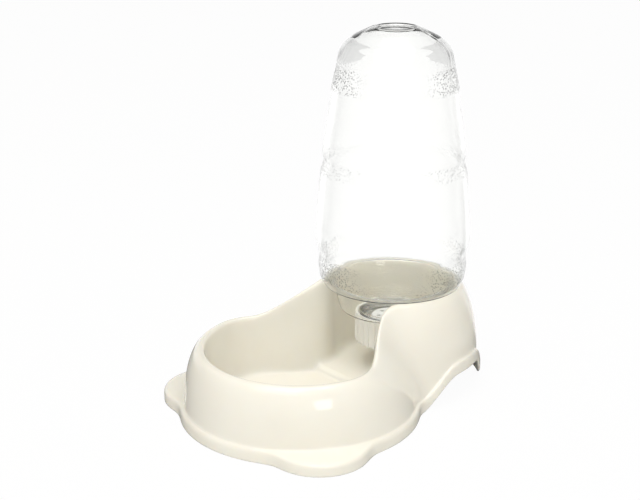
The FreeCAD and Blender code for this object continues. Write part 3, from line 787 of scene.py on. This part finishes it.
def floor_material():
    mat, tree, out = new_material("studio_floor")
    matte = node(tree, "ShaderNodeBsdfDiffuse")
    place = node(tree, "ShaderNodeTexCoord")
    cloud = node(tree, "ShaderNodeTexNoise", Scale=3.0, Detail=2.0)
    tone = toned(tree, cloud, "Fac", (0.80, 0.80, 0.80), (0.85, 0.85, 0.85))
    link(tree, place, "Object", cloud, "Vector")
    link(tree, tone, "Color", matte, "Color")
    # What rays see of the floor is as bright as the backdrop above it
    glow = node(tree, "ShaderNodeEmission")
    path = node(tree, "ShaderNodeLightPath")
    shift = node(tree, "ShaderNodeVectorMath", operation="SUBTRACT")
    shift.inputs[1].default_value = (0, TOWER_Y, 0)
    sweep = use_group(tree, BACKDROP)
    tones = node(tree, "ShaderNodeMix", data_type="FLOAT")
    tones.inputs[3].default_value = 1.0
    link(tree, place, "Object", shift, 0)
    link(tree, shift, "Vector", sweep, "Direction")
    link(tree, path, "Is Camera Ray", tones, 0)
    link(tree, sweep, "Tone", tones, 2)
    link(tree, tones, "Result", glow, "Strength")
    part = combined(tree, "MULTIPLY", (seen_rays(tree, path), "Value"))
    part.inputs[1].default_value = FLOOR_SHADOW
    mix = node(tree, "ShaderNodeMixShader")
    link(tree, part, "Value", mix, 0)
    link(tree, matte, "BSDF", mix, 1)
    link(tree, glow, "Emission", mix, 2)
    link(tree, mix, "Shader", out, "Surface")
    return mat


def studio_world():
    world = bpy.data.worlds.new("studio")
    world.use_nodes = True
    tree = world.node_tree
    tree.nodes.clear()
    out = tree.nodes.new("ShaderNodeOutputWorld")
    place = node(tree, "ShaderNodeTexCoord")
    path = node(tree, "ShaderNodeLightPath")
    # Soft fill, brighter from the window's side and from above
    facing = node(tree, "ShaderNodeVectorMath", operation="DOT_PRODUCT")
    facing.inputs[1].default_value = FILL_FROM
    link(tree, place, "Generated", facing, 0)
    soft = ranged(tree, facing, "Value", FILL_EDGE, FILL_TONES)
    fill = node(tree, "ShaderNodeBackground", Color=FILL_TINT)
    link(tree, soft, "Result", fill, "Strength")
    # What mirrors and clear plastic show: the backdrop, dimmer towards the ceiling
    split = node(tree, "ShaderNodeSeparateXYZ")
    link(tree, place, "Generated", split, "Vector")
    ceiling = ranged(tree, split, "Z", CEILING_EDGE, CEILING_TONES)
    sides = use_group(tree, BACKDROP)
    link(tree, place, "Generated", sides, "Direction")
    tone = combined(tree, "MULTIPLY", (ceiling, "Result"), (sides, "Tone"))
    sweep = node(tree, "ShaderNodeBackground")
    link(tree, tone, "Value", sweep, "Strength")
    white = node(tree, "ShaderNodeBackground", Strength=1.0)
    mirrored = node(tree, "ShaderNodeMixShader")
    link(tree, seen_rays(tree, path), "Value", mirrored, 0)
    link(tree, fill, "Background", mirrored, 1)
    link(tree, sweep, "Background", mirrored, 2)
    mix = node(tree, "ShaderNodeMixShader")
    link(tree, path, "Is Camera Ray", mix, 0)
    link(tree, mirrored, "Shader", mix, 1)
    link(tree, white, "Background", mix, 2)
    link(tree, mix, "Shader", out, "Surface")
    return world


bpy.ops.mesh.primitive_circle_add(
    vertices=FLOOR_SIDES, radius=FLOOR_REACH, fill_type="NGON", location=(0, 0, 0),
)
floor = bpy.context.object
floor.name = "studio_floor"
floor.data.materials.append(floor_material())
bpy.context.scene.world = studio_world()

# Each softbox: distance, angle from +X and height angle seen from the bowl, width, height, watts
SOFTBOXES = {
    "window": (1.6, -18, 12, 0.46, 0.42, 2.6),
    "front": (2.4, -68, 54, 1.8, 1.4, 18.0),
    "above": (1.8, -30, 80, 1.4, 1.4, 15.0),
}
AIM = Vector((0.0, -0.01, 0.06))
BOWL_MIDDLE = Vector((0.0, BOWL_Y, 0.05))


def aimed(name, data, place, way):
    """Lamp or camera at this place, looking along this way."""
    obj = bpy.data.objects.new(name, data)
    bpy.context.scene.collection.objects.link(obj)
    obj.location = place
    obj.rotation_mode = "QUATERNION"
    obj.rotation_quaternion = way.to_track_quat("-Z", "Y")
    return obj


for name, (distance, side, lift, wide, high, power) in SOFTBOXES.items():
    data = bpy.data.lights.new(name, "AREA")
    data.shape = "RECTANGLE"
    data.size = wide
    data.size_y = high
    data.energy = power
    turn = math.radians(side)
    rise = math.radians(lift)
    flat = math.cos(rise)
    place = BOWL_MIDDLE + distance * Vector((flat * math.cos(turn), flat * math.sin(turn), math.sin(rise)))
    aimed(name, data, place, AIM - place)

# Camera of the photograph
YAW = math.radians(48.23)
PITCH = math.radians(18.98)
PHOTO_WIDTH = 640.0
FOCAL_LENGTH = 1354.2
SENSOR = 36.0
CAMERA_PLACE = (0.75889, -0.75889 + TOWER_Y, 0.48255)

data = bpy.data.cameras.new("camera")
data.sensor_width = SENSOR
data.lens = FOCAL_LENGTH / PHOTO_WIDTH * SENSOR
level = math.cos(PITCH)
forward = Vector((-math.sin(YAW) * level, math.cos(YAW) * level, -math.sin(PITCH)))
bpy.context.scene.camera = aimed("camera", data, CAMERA_PLACE, forward)
bpy.context.scene.view_settings.view_transform = "Standard"
